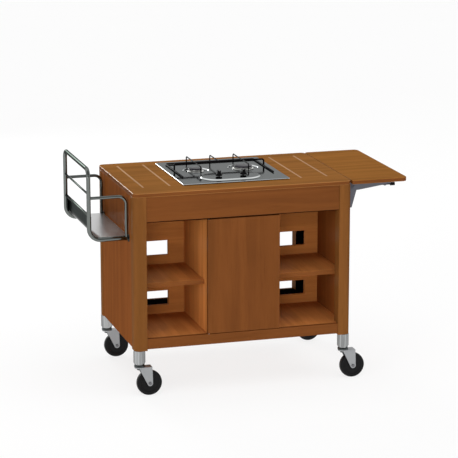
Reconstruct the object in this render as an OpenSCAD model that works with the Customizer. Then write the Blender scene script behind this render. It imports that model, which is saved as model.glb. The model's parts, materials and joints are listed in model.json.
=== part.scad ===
/* [Carcass] */
// Width of the worktop and of the cabinet under it
top_w = 875; // [800:1:1000]
// Depth of the worktop and of the cabinet under it
top_d = 584; // [560:1:680]
// Height of the worktop's upper face above the floor
top_z = 802; // [780:1:860]
// Thickness of the worktop and of the drop leaf
top_t = 16; // [14:0.5:20]
// Radius of the cabinet's four outer vertical corners
corner_r = 22; // [14:0.5:23]
// Side of a square leg
leg_s = 50; // [48:0.5:58]
// Thickness of the side panels, dividers, partitions, rails and bottom
panel_t = 18; // [15:0.5:20]
// How far the side panels lie behind the legs' outer faces
side_recess = 2; // [0.5:0.5:4]
// How far the aprons, rails and door lie behind the legs' outer faces
front_recess = 3; // [1:0.5:6]
// Height of the front and rear aprons
apron_h = 100; // [70:1:110]
// Height of the front and rear bottom rails
rail_h = 40; // [30:1:60]
// How far the bottom rails start above the legs' lower ends
rail_lift = 6; // [2:1:14]
// How far the side panels start above the legs' lower ends
side_lift = 4; // [1:1:14]
// Gap under the worktop in which the hob's casing hangs, below the worktop's upper face
core_drop = 62; // [60:1:75]

/* [Niches] */
// Depth of the front niches, from the cabinet's front to the partitions
niche_d = 345; // [320:1:380]
// Height of a shelf's upper face above the bottom panel
shelf_rise = 206; // [170:1:240]
// Thickness of a shelf
shelf_t = 16; // [12:0.5:20]
// How far a shelf's front edge lies behind the cabinet's front
shelf_setback = 53; // [51:1:90]
// Width of a window in a partition
window_w = 153; // [100:1:170]
// Height of a window in a partition
window_h = 60; // [40:1:80]
// Height of a window above the panel or shelf under it
window_sill = 35; // [20:1:50]
// Distance from a divider to a window
window_edge = 66; // [30:1:80]
// Thickness of the dark lining sheets in the rear bays
liner_t = 1.5; // [1:0.5:3]

/* [Door] */
// Width of the centre door, and distance over the two dividers
door_w = 290; // [270:1:310]
// Thickness of the door
door_t = 16; // [14:0.5:16]
// Gap above and below the door
door_gap = 2.5; // [1.5:0.5:4]
// Gap between the door and the dividers behind it
door_back_gap = 2; // [2:0.5:4]
// Diameter of the door's pivot pins
pivot_d = 5; // [4:0.5:5]
// Distance of the pivot from the door's edge
pivot_edge = 5; // [4:0.5:6]
// Distance of the pivot from the door's front face
pivot_front = 6; // [6:0.5:7]
// Length of a pivot pin inside the door, and inside its bush
pivot_grip = 11; // [8:1:15]
// Height of the magnetic catch
catch_l = 40; // [30:1:60]
// Width of the magnetic catch
catch_s = 14; // [10:1:18]
// Depth of the magnetic catch
catch_d = 26; // [18:1:34]

/* [Drop leaf] */
// Length of the drop leaf, away from the cabinet
leaf_l = 228; // [200:1:260]
// Gap between the worktop and the leaf
leaf_gap = 3; // [2:0.5:4]
// Radius of the leaf's two outer corners
leaf_r = 20; // [10:1:50]
// Radius of the leaf's two inner corners
leaf_inner_r = 8; // [2:1:12]
// Distance of the leaf's hinge pins below the leaf
hinge_drop = 14; // [14:0.5:16]
// Distance of the leaf's hinge pins from the cabinet's side
hinge_out = 18.5; // [18:0.5:21]
// Diameter of the hinge pins
hinge_pin_d = 8; // [6:0.5:9]
// Thickness of the folding brackets' plates
bracket_t = 3; // [2:0.5:3.5]
// Length of a bracket's arm under the leaf
leaf_arm_l = 150; // [110:1:170]
// Height of a bracket's arm on the leg
wall_arm_h = 97; // [80:1:120]
// Free travel of a bracket's release bar
latch_travel = 10; // [6:1:12]

/* [Worktop inlays] */
// Width of an inlaid strip
inlay_w = 8; // [4:0.5:12]
// Length of an inlaid strip
inlay_l = 422; // [380:1:450]
// Distance of the strips' middle behind the cart's middle
inlay_y = 27; // [10:1:40]
// Depth of the groove that holds an inlaid strip
inlay_t = 2; // [1:0.5:4]
// Distance of the inner strips from the cart's middle
inlay_x_in = 266; // [240:1:290]
// Distance of the outer strips from the cart's middle
inlay_x_out = 372; // [330:1:385]

/* [Hob] */
// Width of the steel hob
hob_w = 432; // [410:1:450]
// Depth of the steel hob
hob_d = 436; // [420:1:450]
// Distance of the hob's middle behind the cart's middle
hob_y = 20; // [10:1:30]
// Height of the hob's rim above the worktop
hob_rise = 5; // [4:0.5:8]
// Thickness of the hob's pressed sheet
sheet_t = 1.5; // [1:0.1:2]
// Radius of the hob's corners
hob_r = 8; // [4:1:14]
// How far the hob's rim covers the worktop around its cut-out
hob_rim = 17; // [14:1:22]
// Gap between the hob's casing and the worktop's cut-out
cut_gap = 2; // [1:0.5:4]
// Depth of the casing under the hob
casing_h = 56; // [52:1:58]
// Distance of a burner from the cart's middle, to the side
burner_x = 98; // [90:1:105]
// Distance of the burners behind the hob's middle
burner_back = 30; // [20:1:40]
// Diameter of the left burner's flame ring
small_ring_d = 66; // [58:1:72]
// Diameter of the right burner's flame ring
large_ring_d = 86; // [74:1:92]
// Height of a burner's flame ring
burner_h = 10; // [8:0.5:11]
// How much wider the pressed well around a burner is than its flame ring
well_step = 46; // [38:1:48]
// Depth of the wells
well_h = 5; // [4:0.5:6]
// How much narrower a burner's cap is than its flame ring
cap_step = 12; // [8:1:16]
// Thickness of a burner's cap
cap_h = 4; // [3:0.5:5]
// Length of the raised control panel pressed in the hob
panel_l = 246; // [220:1:260]
// Width of the raised control panel
panel_w = 136; // [100:1:140]
// Height of the raised control panel above the hob
panel_h = 5; // [3:0.5:8]
// Distance of the control panel's middle behind the hob's front edge
panel_in = 94; // [86:1:98]
// Width of a clamp that holds the hob in the worktop
clamp_w = 18; // [12:1:26]
// How far a clamp reaches under the worktop, past the cut-out's edge
clamp_reach = 14; // [8:1:20]
// Thickness of the clamps' steel
clamp_t = 2; // [1.5:0.5:3]

/* [Gas taps] */
// Distance of a knob from the cart's middle
knob_x = 50; // [40:1:60]
// Distance of the knobs behind the hob's front edge
knob_in = 84; // [76:1:100]
// Diameter of a control knob
knob_d = 26; // [22:1:32]
// Height of a control knob
knob_h = 21; // [16:1:26]
// Diameter of a tap's spindle
spindle_d = 8; // [6:0.5:9]
// Distance that a tap is pushed in before it turns
tap_travel = 3; // [2:0.5:4]
// Diameter of the gas pipe that feeds the taps
pipe_d = 10; // [8:0.5:12]
// Diameter of the two pipes from the taps to the burners
feed_d = 7; // [6:0.5:8]
// Diameter of the hose tail on the gas inlet
tail_d = 9; // [8:0.5:12]
// Length of the hose tail
tail_l = 28; // [20:1:34]

/* [Pan grate] */
// Width of the grate's frame, between the middles of its side wires
grate_w = 370; // [360:1:380]
// Distance of the frame's rear wire behind the burners
grate_back = 136; // [110:1:145]
// Distance of the frame's front ends in front of the burners
grate_front = 130; // [100:1:140]
// Height of the raised wires above the hob
grate_h = 29; // [24:0.5:34]
// Distance of the fingers' front feet in front of the burners
finger_front = 78; // [75:1:80]
// Radius of the grate's bends
grate_bend = 8; // [6:0.5:10]
// Diameter of the frame's wire
frame_wire_d = 6; // [5.5:0.5:6.5]
// Diameter of the raised cross bar
cross_wire_d = 7; // [7:0.5:8]
// Diameter of the fingers
finger_d = 5; // [4:0.5:5]

/* [Bottle rack] */
// Distance from the cabinet's side to the middle of the rack's outer tube
rack_out = 154; // [130:1:180]
// Distance between the rack's rosettes and the legs
rack_leg_gap = 23; // [5:1:45]
// Diameter of the rack's main tube
tube_d = 16; // [14:0.5:18]
// Diameter of the side loops and of the lower rail
loop_d = 12; // [10:0.5:13]
// Diameter of the thin rail
thin_d = 8; // [6:0.5:10]
// Height of the rack's top bar above the worktop
rack_rise = 85; // [60:1:110]
// Distance of the rack's bottom bars under the worktop's upper face
rack_drop = 189; // [170:1:210]
// Bend radius of the main tube at the bottom
rack_bend = 45; // [35:1:55]
// Bend radius of the main tube at the top
rack_top_bend = 30; // [24:1:40]
// Distance of the side loops under the worktop's upper face
loop_drop = 25; // [15:1:45]
// Bend radius of the side loops
loop_bend = 30; // [20:1:40]
// Distance of the thin rail under the worktop's upper face
thin_drop = 10; // [0:1:20]
// Distance of the lower rail under the worktop's upper face
low_drop = 97; // [80:1:115]
// Thickness of the rack's tray sheet
tray_t = 1.5; // [1:0.1:3]
// Diameter of the rosettes where the rack meets the cabinet
rosette_d = 30; // [24:1:36]
// Thickness of a rosette
rosette_t = 3; // [2:0.5:5]

/* [Casters] */
// Diameter of a wheel
wheel_d = 100; // [80:1:108]
// Width of a wheel
wheel_w = 26; // [20:1:30]
// Distance of the axle behind the swivel axis
trail = 38; // [30:1:44]
// Height of a caster, from the floor to its socket
caster_h = 125; // [124:1:140]
// Height of the steel socket between a leg and its caster
socket_h = 57; // [40:1:70]
// Diameter of the socket
socket_d = 46; // [40:0.5:47]
// Distance of the swivel axis from the leg's outer faces
socket_inset = 22; // [21:0.5:25]
// Diameter of the axle bolts
axle_d = 8; // [6:0.5:10]
// Thickness of the fork's plate
fork_t = 2.5; // [2:0.5:4]
// Clear gap between the wheel and each fork plate
fork_clear = 3; // [2:0.5:5]
// Diameter of the swivel stem
stem_d = 12; // [10:0.5:14]
// Diameter of the swivel race
race_d = 42; // [38:1:46]

/* [Clearances] */
// Radial clearance of pins and spindles that turn in a hole
run_fit = 0.05; // [0.02:0.01:0.1]
// Gap between parts that slide or turn past each other
pass_gap = 0.4; // [0.3:0.05:0.8]

/* [Hidden] */
$fn = 48;
eps = 0.01;

// Heights
under_z = top_z - top_t;
leg_z = caster_h + socket_h;
side_z = leg_z + side_lift;
rail_z = leg_z + rail_lift;
floor_z = rail_z + rail_h;
apron_z = under_z - apron_h;
core_z = top_z - core_drop;
shelf_z = floor_z + shelf_rise;

// Planes, as distances from the cart's middle
half_w = top_w / 2;
half_d = top_d / 2;
leg_in_x = half_w - leg_s;
leg_in_y = half_d - leg_s;
face_y = half_d - front_recess;
core_y = face_y - panel_t;
side_out_x = half_w - side_recess;
side_in_x = side_out_x - panel_t;
divider_x = door_w / 2;
divider_in_x = divider_x - panel_t;
partition_y = niche_d - half_d;
shelf_y = shelf_setback - half_d;

// The object's middle lies between the rack's outer face and the leaf's outer edge
rack_reach = rack_out + tube_d / 2;
leaf_reach = leaf_gap + leaf_l;
cabinet_x = (rack_reach - leaf_reach) / 2;

// Hob
hob_z = top_z + hob_rise;
casing_w = hob_w - 2 * hob_rim;
casing_d = hob_d - 2 * hob_rim;
casing_z = hob_z - sheet_t - casing_h;
notch_x = casing_w / 2 + 20;
burner_y = hob_y + burner_back;
hob_front_y = hob_y - hob_d / 2;
panel_y = hob_front_y + panel_in;
panel_z = hob_z + panel_h;
well_z = hob_z - well_h;
burner_z = well_z;
cup_step = 26;
cup_h = 20;
boss_l = 8;
knob_y = hob_front_y + knob_in;
knob_z = panel_z + tap_travel + pass_gap;
valve_s = 24;
valve_h = 34;
valve_top_z = panel_z - sheet_t;
valve_z = valve_top_z - valve_h;
pipe_z = burner_z - cup_h / 2;
pipe_y = knob_y - valve_s / 2 - pipe_d / 2;
inlet_x = 2 * knob_x;
inlet_z = casing_z - 30;
union_d = pipe_d + 9;
union_h = 14;
grate_z = hob_z + grate_h;
grate_back_y = burner_y + grate_back;
grate_front_y = burner_y - grate_front;
finger_front_y = burner_y - finger_front;
grate_foot_z = hob_z + pass_gap;
frame_z = grate_foot_z + frame_wire_d / 2;

// Door
door_z = floor_z + door_gap;
door_h = apron_z - floor_z - 2 * door_gap;
pivot_x = -(door_w / 2 - pivot_edge);
pivot_y = -face_y + pivot_front;
bush_d = pivot_d + 3;
door_back_y = -face_y + door_t;
divider_y = door_back_y + door_back_gap;
catch_z = door_z + door_h * 0.75;

// Leaf and its brackets, in the plane across the cart
leaf_x = half_w + leaf_gap;
hinge_x = half_w + hinge_out;
hinge_z = under_z - hinge_drop;
hub_r = hinge_drop - pass_gap;
bracket_y = half_d - corner_r - bracket_t - 0.5;
leaf_plate_y = bracket_y + bracket_t + pass_gap;
flange_w = 22;
bar_h = 5;
bar_z = hinge_z - bar_h / 2;
head_d = hinge_pin_d + 5;
bar_x = hinge_x + head_d / 2 + pass_gap;
head_t = 2;
bar_y = bracket_y - bracket_t - head_t - pass_gap;
arm_end_x = hinge_x + leaf_arm_l - 10;
pull_d = 13;
pull_l = 18;

// Rack
rack_x = -(half_w + rack_out);
rack_y = leg_in_y - rosette_d / 2 - rack_leg_gap;
rack_top_z = top_z + rack_rise;
rack_low_z = top_z - rack_drop;
loop_z = top_z - loop_drop;
loop_x = -(half_w + loop_d / 2 + 2);
thin_z = top_z - thin_drop;
low_z = top_z - low_drop;

// Casters
wheel_r = wheel_d / 2;
caster_x = half_w - socket_inset;
caster_y = half_d - socket_inset;
race_h = 9;
race_z = caster_h - race_h;
crown_t = 4;
crown_z = race_z - pass_gap - crown_t;
hub_w = wheel_w + 2 * (fork_clear - 1);
fork_in = wheel_w / 2 + fork_clear;
stem_z = crown_z - 8;

// Sides of the cart: left is -1 and right is 1, front is -1 and rear is 1
LEFT = -1;
RIGHT = 1;
FRONT = -1;
REAR = 1;

// Moves the cabinet's middle to its place beside the object's middle
module at_cabinet() {
  translate([cabinet_x, 0, 0]) children();
}

// A box given by its two corners
module block(low, high) {
  translate(low) cube(high - low);
}

// A rectangle with its own radius at each corner: low left, low right, high right, high left
module rounded_rect(low, high, radii) {
  xs = [low[0], high[0], high[0], low[0]];
  ys = [low[1], low[1], high[1], high[1]];
  inward = [[1, 1], [-1, 1], [-1, -1], [1, -1]];
  difference() {
    translate(low) square(high - low);
    for (i = [0:3])
      translate([xs[i], ys[i]]) scale(1)
        difference() {
          translate([inward[i][0] > 0 ? -1 : -radii[i], inward[i][1] > 0 ? -1 : -radii[i]])
            square(radii[i] + 1);
          translate([inward[i][0] * radii[i], inward[i][1] * radii[i]]) circle(r = radii[i]);
        }
  }
}

// A round bar between two points
module rod(from, to, d) {
  v = to - from;
  len = norm(v);
  translate(from)
    rotate([0, acos(v[2] / len), atan2(v[1], v[0])])
      cylinder(d = d, h = len);
}

// A quarter bend of a tube, about the local Z axis, from +X to +Y
module bend(r, d) {
  rotate_extrude(angle = 90) translate([r, 0]) circle(d = d);
}

// How far a flat path turns at one of its inner points, in degrees, positive to the left
function turn_at(path, i) = let (
    from = path[i] - path[i - 1],
    to = path[i + 1] - path[i],
    turn = atan2(to[1], to[0]) - atan2(from[1], from[0])
  ) turn > 180 ? turn - 360 : turn < -180 ? turn + 360 : turn;

// A wire or tube bent in the local XY plane along a path, with a bend at each inner point
module wire(path, r, d) {
  last = len(path) - 1;
  cuts = [for (i = [0:last]) i == 0 || i == last ? 0 : r * tan(abs(turn_at(path, i)) / 2)];
  for (i = [1:last]) {
    v = (path[i] - path[i - 1]) / norm(path[i] - path[i - 1]);
    from = path[i - 1] + cuts[i - 1] * v;
    to = path[i] - cuts[i] * v;
    rod([from[0], from[1], 0], [to[0], to[1], 0], d);
    if (i < last) {
      turn = turn_at(path, i);
      s = sign(turn);
      translate([to[0] - s * r * v[1], to[1] + s * r * v[0], 0])
        rotate(atan2(v[1], v[0]) - 90 * s + min(turn, 0))
          rotate_extrude(angle = abs(turn)) translate([r, 0]) circle(d = d);
    }
  }
}

// Stands what lies in the local XY plane up in the XZ plane, at a given depth
module upright(y) {
  translate([0, y, 0]) rotate([90, 0, 0]) children();
}

module worktop() {
  r = corner_r;
  color("peru") at_cabinet() difference() {
    translate([0, 0, under_z]) linear_extrude(top_t)
      rounded_rect([-half_w, -half_d], [half_w, half_d], [r, r, r, r]);
    block([-casing_w / 2 - cut_gap, hob_y - casing_d / 2 - cut_gap, under_z - 1],
      [casing_w / 2 + cut_gap, hob_y + casing_d / 2 + cut_gap, top_z + 1]);
    for (x = inlay_places())
      block([x - inlay_w / 2, inlay_y - inlay_l / 2, top_z - inlay_t],
        [x + inlay_w / 2, inlay_y + inlay_l / 2, top_z + 1]);
  }
}

function inlay_places() = [-inlay_x_out, -inlay_x_in, inlay_x_in, inlay_x_out];

module inlay_strips() {
  color("wheat") at_cabinet() for (x = inlay_places())
    block([x - inlay_w / 2, inlay_y - inlay_l / 2, top_z - inlay_t],
      [x + inlay_w / 2, inlay_y + inlay_l / 2, top_z]);
}

// A leg with one rounded outer edge
module leg(side, end) {
  radii = [side < 0 && end < 0 ? corner_r : 1, side > 0 && end < 0 ? corner_r : 1,
    side > 0 && end > 0 ? corner_r : 1, side < 0 && end > 0 ? corner_r : 1];
  low = [side < 0 ? -half_w : leg_in_x, end < 0 ? -half_d : leg_in_y];
  color("peru") at_cabinet()
    translate([0, 0, leg_z]) linear_extrude(under_z - leg_z)
      rounded_rect(low, low + [leg_s, leg_s], radii);
}

module leg_front_left() { leg(LEFT, FRONT); }
module leg_front_right() { leg(RIGHT, FRONT); }
module leg_rear_left() { leg(LEFT, REAR); }
module leg_rear_right() { leg(RIGHT, REAR); }

module side_panel(side) {
  near = side < 0 ? -side_out_x : side_in_x;
  color("peru") at_cabinet()
    block([near, -leg_in_y, side_z], [near + panel_t, leg_in_y, under_z]);
}

module side_left() { side_panel(LEFT); }
module side_right() { side_panel(RIGHT); }

// A long board between two legs, at the front or at the rear
module cross_board(end, low_z, high_z) {
  near = end < 0 ? -face_y : core_y;
  block([-leg_in_x, near, low_z], [leg_in_x, near + panel_t, high_z]);
}

module front_apron() {
  color("peru") at_cabinet() difference() {
    cross_board(FRONT, apron_z, under_z);
    translate([pivot_x, pivot_y, apron_z - 1]) cylinder(d = bush_d, h = pivot_grip + 2);
  }
}

module rear_apron() {
  color("peru") at_cabinet() cross_board(REAR, apron_z, under_z);
}

module front_rail() {
  color("peru") at_cabinet() difference() {
    cross_board(FRONT, rail_z, floor_z);
    translate([pivot_x, pivot_y, floor_z - pivot_grip - 1])
      cylinder(d = bush_d, h = pivot_grip + 2);
  }
}

module rear_rail() {
  color("peru") at_cabinet() cross_board(REAR, rail_z, floor_z);
}

module bottom_panel() {
  color("peru") at_cabinet() difference() {
    block([-side_in_x, -core_y, floor_z - panel_t], [side_in_x, core_y, floor_z]);
    for (sx = [-1, 1], sy = [-1, 1])
      translate([sx * (leg_in_x + leg_s), sy * (leg_in_y + leg_s), floor_z])
        cube([2 * leg_s, 2 * leg_s, 4 * panel_t], center = true);
    for (x = [-1, 0, 1])
      translate([x * inlet_x, pipe_y, floor_z - panel_t - 1]) linear_extrude(panel_t + 2)
        slot_shape(tail_d + 6, 90);
  }
}

// A slot with round ends, lying along Y
module slot_shape(w, l) {
  square([w, l - w], center = true);
  for (s = [-1, 1]) translate([0, s * (l - w) / 2]) circle(d = w);
}

module divider(side) {
  near = side < 0 ? -divider_x : divider_in_x;
  color("peru") at_cabinet() difference() {
    block([near, divider_y, floor_z], [near + panel_t, core_y, core_z]);
    block([near - 1, divider_y - 1, apron_z], [near + panel_t + 1, -core_y, core_z + 1]);
  }
}

module divider_left() { divider(LEFT); }
module divider_right() { divider(RIGHT); }

// A partition with a window over the bottom panel and one over the shelf
module partition(side) {
  low_x = side < 0 ? -side_in_x : divider_x;
  high_x = side < 0 ? -divider_x : side_in_x;
  window_x = side * (divider_x + window_edge + window_w / 2);
  color("peru") at_cabinet() difference() {
    block([low_x, partition_y, floor_z], [high_x, partition_y + panel_t, under_z]);
    block([-notch_x, partition_y - 1, core_z], [notch_x, partition_y + panel_t + 1, under_z + 1]);
    for (z = [floor_z, shelf_z])
      block([window_x - window_w / 2, partition_y - 1, z + window_sill],
        [window_x + window_w / 2, partition_y + panel_t + 1, z + window_sill + window_h]);
  }
}

module partition_left() { partition(LEFT); }
module partition_right() { partition(RIGHT); }

module shelf(side) {
  low_x = side < 0 ? -side_in_x : divider_x;
  high_x = side < 0 ? -divider_x : side_in_x;
  color("peru") at_cabinet()
    block([low_x, shelf_y, shelf_z - shelf_t], [high_x, partition_y, shelf_z]);
}

module shelf_left() { shelf(LEFT); }
module shelf_right() { shelf(RIGHT); }

// The centre compartment's back, with vent slots near the bottom
module back_panel() {
  color("peru") at_cabinet() difference() {
    block([-divider_in_x, core_y - panel_t, floor_z], [divider_in_x, core_y, core_z]);
    for (x = [-2:2])
      translate([x * divider_in_x * 0.3, core_y + 1, floor_z + 70]) rotate([90, 0, 0])
        linear_extrude(panel_t + 2) slot_shape(12, 60);
  }
}

// Dark sheets on the side, on the leg and on the floor of each rear bay
module bay_liners() {
  rear_y = partition_y + panel_t;
  x = side_in_x;
  y = leg_in_y;
  t = liner_t;
  color("black") at_cabinet() for (side = [0, 1]) mirror([side, 0, 0]) {
    translate([0, 0, floor_z]) linear_extrude(t)
      polygon([[divider_x, rear_y], [x, rear_y], [x, y], [leg_in_x, y], [leg_in_x, core_y],
        [divider_x, core_y]]);
    translate([0, 0, floor_z + t]) linear_extrude(core_z - floor_z - t)
      polygon([[x - t, rear_y], [x, rear_y], [x, y], [leg_in_x, y], [leg_in_x, y - t],
        [x - t, y - t]]);
  }
}

module stadium(l, w) {
  square([l - w, w], center = true);
  for (s = [-1, 1]) translate([s * (l - w) / 2, 0]) circle(d = w);
}

// The pressed steel hob: a rim on the worktop, two wells and a raised control panel
module hob_plate() {
  lo = [-hob_w / 2, hob_y - hob_d / 2];
  hi = [hob_w / 2, hob_y + hob_d / 2];
  t = sheet_t;
  inset = [t, t];
  r = hob_r;
  color("silver") at_cabinet() difference() {
    union() {
      difference() {
        translate([0, 0, top_z]) linear_extrude(hob_rise) rounded_rect(lo, hi, [r, r, r, r]);
        translate([0, 0, top_z - 1]) linear_extrude(hob_rise - t + 1)
          rounded_rect(lo + inset, hi - inset, [r - t, r - t, r - t, r - t]);
      }
      for (s = [-1, 1]) translate([s * burner_x, burner_y, well_z - t])
        cylinder(d = ring_d(s) + well_step, h = well_h + t);
      translate([0, panel_y, hob_z - eps]) linear_extrude(panel_h) stadium(panel_l, panel_w);
    }
    for (s = [-1, 1]) translate([s * burner_x, burner_y, 0]) {
      translate([0, 0, well_z]) cylinder(d = ring_d(s) + well_step - 2 * t, h = well_h + 1);
      cylinder(d = ring_d(s) - cup_step + 2 * pass_gap, h = hob_z);
    }
    translate([0, panel_y, hob_z - t - 1]) linear_extrude(panel_h + 1)
      stadium(panel_l - 2 * t, panel_w - 2 * t);
    for (s = [-1, 1]) translate([s * knob_x, knob_y, hob_z])
      cylinder(d = spindle_d + 3, h = panel_h + 1);
  }
}

// A burner's flame ring is larger on the right
function ring_d(side) = side < 0 ? small_ring_d : large_ring_d;

// The open steel casing under the hob
module hob_casing() {
  lo = [-casing_w / 2, hob_y - casing_d / 2, casing_z];
  hi = [casing_w / 2, hob_y + casing_d / 2, hob_z - sheet_t];
  wall = [sheet_t, sheet_t, sheet_t];
  color("gray") at_cabinet() difference() {
    block(lo, hi);
    block(lo + wall, hi - wall + [0, 0, sheet_t + 1]);
    translate([inlet_x, pipe_y, casing_z - 1]) cylinder(d = pipe_d + 2, h = sheet_t + 2);
  }
}

// Each burner's cup and slotted flame ring
module burner_rings() {
  slots = 20;
  color("gainsboro") at_cabinet() for (s = [-1, 1]) translate([s * burner_x, burner_y, 0]) {
    cup_d = ring_d(s) - cup_step;
    difference() {
      union() {
        translate([0, 0, burner_z]) cylinder(d = ring_d(s), h = burner_h);
        translate([0, 0, burner_z - cup_h]) cylinder(d = cup_d, h = cup_h + 1);
        translate([0, 0, pipe_z]) rotate([90, 0, 0])
          cylinder(d = feed_d + 5, h = cup_d / 2 + boss_l);
      }
      translate([0, 0, burner_z - cup_h + 2]) cylinder(d = cup_d - 6, h = cup_h + burner_h);
      for (i = [0:slots - 1]) rotate(i * 360 / slots)
        translate([cup_d / 2 + 2, -1.2, burner_z + 3]) cube([ring_d(s), 2.4, burner_h - 5]);
    }
  }
}

module burner_caps() {
  top = burner_z + burner_h;
  color("dimgray") at_cabinet() for (s = [-1, 1]) translate([s * burner_x, burner_y, top]) {
    cylinder(d = ring_d(s) - cap_step, h = cap_h * 0.6);
    translate([0, 0, cap_h * 0.6]) cylinder(d = ring_d(s) - cap_step - 8, h = cap_h * 0.4);
  }
}

// A tap's body under each knob
module gas_valves() {
  color("goldenrod") at_cabinet() for (s = [-1, 1]) difference() {
    block([s * knob_x - valve_s / 2, knob_y - valve_s / 2, valve_z],
      [s * knob_x + valve_s / 2, knob_y + valve_s / 2, valve_top_z]);
    translate([s * knob_x, knob_y, valve_z + 4])
      cylinder(r = spindle_d / 2 + run_fit, h = valve_h);
  }
}

// The pipe that feeds both taps, with its drop through the casing, and a pipe to each burner
module gas_pipes() {
  left_x = -knob_x - valve_s / 2 - 6;
  from_y = knob_y + valve_s / 2;
  mid_y = from_y + 45;
  color("darkgoldenrod") at_cabinet() {
    upright(pipe_y) wire([[left_x, pipe_z], [inlet_x, pipe_z], [inlet_x, inlet_z]], pipe_d, pipe_d);
    for (s = [-1, 1]) translate([0, 0, pipe_z])
      wire([[s * knob_x, from_y], [s * knob_x, mid_y], [s * burner_x, mid_y],
        [s * burner_x, burner_y - (ring_d(s) - cup_step) / 2 - boss_l]], 2 * feed_d, feed_d);
  }
}

// The union nut and hose tail where a gas hose is pushed on
module gas_inlet() {
  color("goldenrod") at_cabinet() translate([inlet_x, pipe_y, inlet_z]) difference() {
    union() {
      translate([0, 0, -union_h]) cylinder(d = union_d, h = union_h, $fn = 6);
      translate([0, 0, -union_h - tail_l]) cylinder(d = tail_d, h = tail_l + 1);
    }
    translate([0, 0, -union_h - tail_l - 1]) cylinder(d = tail_d - 4, h = tail_l + union_h + 2);
  }
}

// Four hooks that clamp the hob's casing against the worktop
module hob_clamps() {
  reach = cut_gap + clamp_reach;
  w = clamp_w / 2;
  t = clamp_t;
  color("silver") at_cabinet() for (side = [-1, 1], y = [-0.6, 0.6] * casing_d / 2) {
    wall_x = side < 0 ? -casing_w / 2 - t : casing_w / 2;
    block([wall_x, hob_y + y - w, under_z - clamp_w],
      [wall_x + t, hob_y + y + w, under_z]);
    foot_x = side < 0 ? -casing_w / 2 - reach : casing_w / 2 + t - eps;
    block([foot_x, hob_y + y - w, under_z - t],
      [foot_x + reach - t + eps, hob_y + y + w, under_z]);
  }
}

// The rack's one bent tube: two bottom bars, two uprights and the top bar
module rack_frame() {
  end_x = -side_out_x - rosette_t;
  color("silver") at_cabinet() {
    for (s = [-1, 1]) {
      rod([rack_x + rack_bend, s * rack_y, rack_low_z], [end_x, s * rack_y, rack_low_z], tube_d);
      translate([rack_x + rack_bend, s * rack_y, rack_low_z + rack_bend])
        rotate([90, 0, 180]) mirror([0, 1, 0]) bend(rack_bend, tube_d);
      rod([rack_x, s * rack_y, rack_low_z + rack_bend],
        [rack_x, s * rack_y, rack_top_z - rack_top_bend], tube_d);
      translate([rack_x, s * (rack_y - rack_top_bend), rack_top_z - rack_top_bend])
        rotate([90, 0, 90]) mirror([s < 0 ? 1 : 0, 0, 0]) bend(rack_top_bend, tube_d);
    }
    rod([rack_x, -rack_y + rack_top_bend, rack_top_z],
      [rack_x, rack_y - rack_top_bend, rack_top_z], tube_d);
  }
}

// The tube that the rails are cut to fit against
module rack_cope() {
  for (s = [-1, 1]) {
    translate([rack_x, s * rack_y, rack_low_z]) cylinder(d = tube_d, h = rack_top_z - rack_low_z);
    translate([rack_x, s * rack_y, rack_low_z]) rotate([0, 90, 0])
      cylinder(d = tube_d, h = rack_out);
  }
}

// The two side loops, the thin rail and the lower rail
module rack_rails() {
  low_x = rack_x + (tube_d - loop_d) / 2;
  color("silver") at_cabinet() difference() {
    union() {
      for (s = [-1, 1]) upright(s * rack_y)
        wire([[rack_x, loop_z], [loop_x, loop_z], [loop_x, rack_low_z]], loop_bend, loop_d);
      rod([rack_x, -rack_y, thin_z], [rack_x, rack_y, thin_z], thin_d);
      rod([low_x, -rack_y, low_z], [low_x, rack_y, low_z], loop_d);
    }
    rack_cope();
  }
}

// The bent sheet that bottles stand on, turned up along the outer side
module rack_tray() {
  r = rack_bend - tube_d / 2;
  x_out = rack_x + tube_d / 2;
  z_low = rack_low_z + tube_d / 2;
  edge_x = -side_out_x - rosette_t - pass_gap;
  color("slategray") at_cabinet() difference() {
    upright(rack_y) linear_extrude(2 * rack_y) {
      translate([x_out + r, z_low]) square([edge_x - x_out - r, tray_t]);
      translate([x_out, z_low + r]) square([tray_t, low_z - z_low - r]);
      intersection() {
        translate([x_out + r, z_low + r]) difference() {
          circle(r = r, $fn = 96);
          circle(r = r - tray_t, $fn = 96);
        }
        translate([x_out, z_low]) square(r);
      }
    }
    for (s = [-1, 1]) translate([loop_x, s * rack_y, z_low - 1])
      cylinder(d = loop_d + 2 * pass_gap, h = tray_t + 2);
  }
}

// Rosettes and screws that hold the rack's two ends to the cabinet
module rack_rosettes() {
  color("silver") at_cabinet() for (s = [-1, 1]) {
    translate([-side_out_x, s * rack_y, rack_low_z]) rotate([0, -90, 0])
      cylinder(d = rosette_d, h = rosette_t);
    translate([-side_in_x + (s > 0 ? liner_t : 0), s * rack_y, rack_low_z]) rotate([0, 90, 0])
      cylinder(d = 12, h = 4);
  }
}

// A bracket's arm on the leg: a flange, a web and the hinge pin
module wall_bracket(end) {
  tip_w = 9;
  color("dimgray") at_cabinet() mirror([0, end > 0 ? 1 : 0, 0]) {
    block([half_w, -bracket_y, hinge_z + hub_r - wall_arm_h],
      [half_w + bracket_t, -bracket_y + flange_w, hinge_z + hub_r]);
    upright(-bracket_y + bracket_t) linear_extrude(bracket_t) {
      polygon([[half_w, hinge_z + hub_r - wall_arm_h],
        [half_w + tip_w, hinge_z + hub_r - wall_arm_h],
        [hinge_x + hub_r, hinge_z], [hinge_x, hinge_z + hub_r], [half_w, hinge_z + hub_r]]);
      translate([hinge_x, hinge_z]) circle(r = hub_r);
    }
    translate([hinge_x, 0, hinge_z]) {
      upright(-bracket_y + bracket_t + head_t) cylinder(d = head_d, h = head_t);
      upright(-bracket_y + bracket_t)
        cylinder(d = hinge_pin_d, h = 2 * (bracket_t + pass_gap) + 0.1);
      upright(-leaf_plate_y - pass_gap) cylinder(d = head_d, h = head_t);
    }
  }
}

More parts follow.
